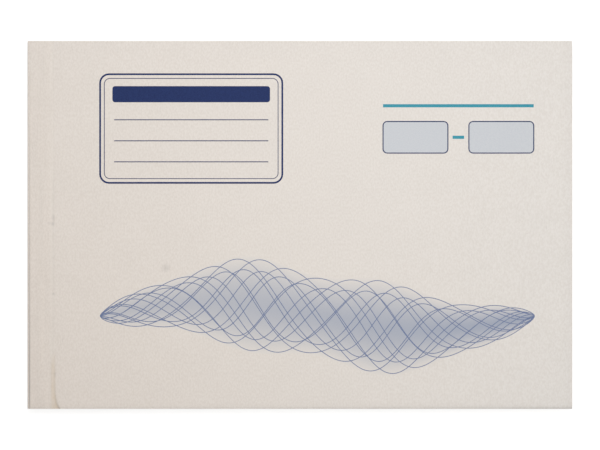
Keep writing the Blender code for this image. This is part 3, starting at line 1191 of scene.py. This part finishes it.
def receipt_form(number, body):
    """Print of one receipt: tinted heading and amount box, frame, and lines to write and sign on."""
    place = on_sheet(sheet_level(number), FORM_INK_RISE)
    over = on_sheet(sheet_level(number), FORM_INK_RISE + FORM_OVERPRINT_RISE)
    heading_centre = (FORM_CENTRE_X, HEADING_LEVEL)
    shape = Shape()
    fill_box(shape, AMOUNT_CENTRE, AMOUNT_SIZE, BOX_RADIUS, place, FORM_STEP, material=1)
    fill_box(shape, heading_centre, HEADING_SIZE, BOX_RADIUS, place, FORM_STEP, material=1)
    outline = rounded_box((FORM_CENTRE_X, 0.0), FORM_SIZE, FORM_RADIUS, FORM_STEP)
    shape.stroke(outline, FORM_LINE, over, closed=True)
    amount_outline = rounded_box(AMOUNT_CENTRE, AMOUNT_SIZE, BOX_RADIUS, FORM_STEP)
    shape.stroke(amount_outline, BOX_LINE, over, closed=True)
    writing = [(*FORM_WRITING_ENDS, level) for level in FORM_WRITING_LEVELS]
    signing = [(*ends, SIGNING_LEVEL) for ends in SIGNING_ENDS]
    for left, right, y in writing + signing:
        shape.stroke(straight((left, y), (right, y), FORM_STEP), WRITING_LINE, over)
    inks = (FORM_INK, FORM_TINT)
    make_piece(f"form_{number:03d}", shape, body, FORM_INK_THICKNESS, inks)


def receipt_forms():
    """The print of each single receipt, and of the topmost one in each pack."""
    for node in LEAF_NODES:
        receipt_form(sheet_numbers(node)[0], BODY_OF[node])


# Parts that stay as they are in the frame


def dress(node, material):
    """Gives a node of the frame its finish."""
    mesh = frame["nodes"][node].data
    mesh.materials.clear()
    mesh.materials.append(material)


def inner_parts():
    """Finishes of the board, the glue films and the staples."""
    dress("back_board", grey_board())
    glue = binding_glue()
    for node in ("spine_adhesive", "strip_adhesive"):
        dress(node, glue)
    wire = steel_wire()
    for node in STAPLE_NODES:
        dress(node, wire)
        frame["nodes"][node].data.shade_smooth()


# Stage


def camera():
    """A camera that looks straight down, from far enough for an almost parallel view."""
    data = bpy.data.cameras.new("camera")
    data.sensor_width = SENSOR_WIDTH
    data.lens = SENSOR_WIDTH * CAMERA_HEIGHT / PHOTO_WIDTH_AT_COVER
    view = bpy.data.objects.new("camera", data)
    view.location = (*CAMERA_OFFSET, PAD_TOP + CAMERA_HEIGHT)
    bpy.context.scene.collection.objects.link(view)
    bpy.context.scene.camera = view


def floor():
    """A white floor that keeps the pad's shadow near by, and stays white beyond the lamps' reach."""
    half = FLOOR_HALF_SIZE
    corners = [(-half, -half, 0), (half, -half, 0), (half, half, 0), (-half, half, 0)]
    mesh = bpy.data.meshes.new("floor")
    mesh.from_pydata(corners, [], [(0, 1, 2, 3)])
    plane = bpy.data.objects.new("floor", mesh)
    plane.location.z = PAD_BOTTOM - FLOOR_GAP
    bpy.context.scene.collection.objects.link(plane)
    finish = Finish("floor_white", roughness=0.9, specular=0.0)
    finish.colour(grey(FLOOR_TONE))
    finish.shader["Emission Color"].default_value = grey(1.0)
    glow = finish.remap(finish.distance(), (NEAR_DISTANCE, FAR_DISTANCE), (NEAR_GLOW, FAR_GLOW))
    strength = finish.maths("MULTIPLY", finish.seen_directly(), glow)
    finish.plug(strength, finish.shader["Emission Strength"])
    mesh.materials.append(finish.material)


def world():
    """Soft light from all round, brighter near the horizon so that upright sides aren't left dark."""
    studio = bpy.data.worlds.new("studio")
    studio.use_nodes = True
    nodes = Nodes(studio.node_tree)
    direction = nodes.add("TexCoord").outputs["Generated"]
    height = nodes.add("SeparateXYZ", {"Vector": direction}).outputs["Z"]
    strength = nodes.remap(height, (0.0, 1.0), (HORIZON_LIGHT, ZENITH_LIGHT))
    fill = nodes.add("Background", {"Color": grey(1.0), "Strength": strength})
    shown = studio.node_tree.nodes["Background"]
    nodes.plug(grey(1.0), shown.inputs["Color"])
    mix = nodes.add("MixShader", {0: nodes.seen_directly(), 1: fill.outputs[0], 2: shown.outputs[0]})
    nodes.plug(mix.outputs["Shader"], studio.node_tree.nodes["World Output"].inputs["Surface"])
    bpy.context.scene.world = studio


def lamp(name, place, aim, size, watts):
    """A square lamp that shines at a point and isn't seen itself."""
    data = bpy.data.lights.new(name, "AREA")
    data.shape = "SQUARE"
    data.size = size
    data.energy = watts
    source = bpy.data.objects.new(name, data)
    source.location = place
    source.rotation_euler = (Vector(place) - Vector(aim)).to_track_quat("Z", "Y").to_euler()
    source.visible_camera = False
    bpy.context.scene.collection.objects.link(source)


def lamps():
    """A near lamp over the pad's upper half, and a faint one beyond its fore edge."""
    lamp("key", place=(0.007, 0.068, 0.33), aim=(0.007, 0.068, 0.0), size=0.16, watts=0.55)
    lamp("side", place=(0.35, -0.09, 0.22), aim=(0.0, 0.0, 0.0), size=0.2, watts=0.20)


card_wrap()
front_panel()
receipt_leaves()
stub_block()
cover_ribbon()
cover_strands()
cover_label()
receipt_forms()
inner_parts()
camera()
floor()
world()
lamps()
bpy.context.scene.view_settings.view_transform = "Standard"
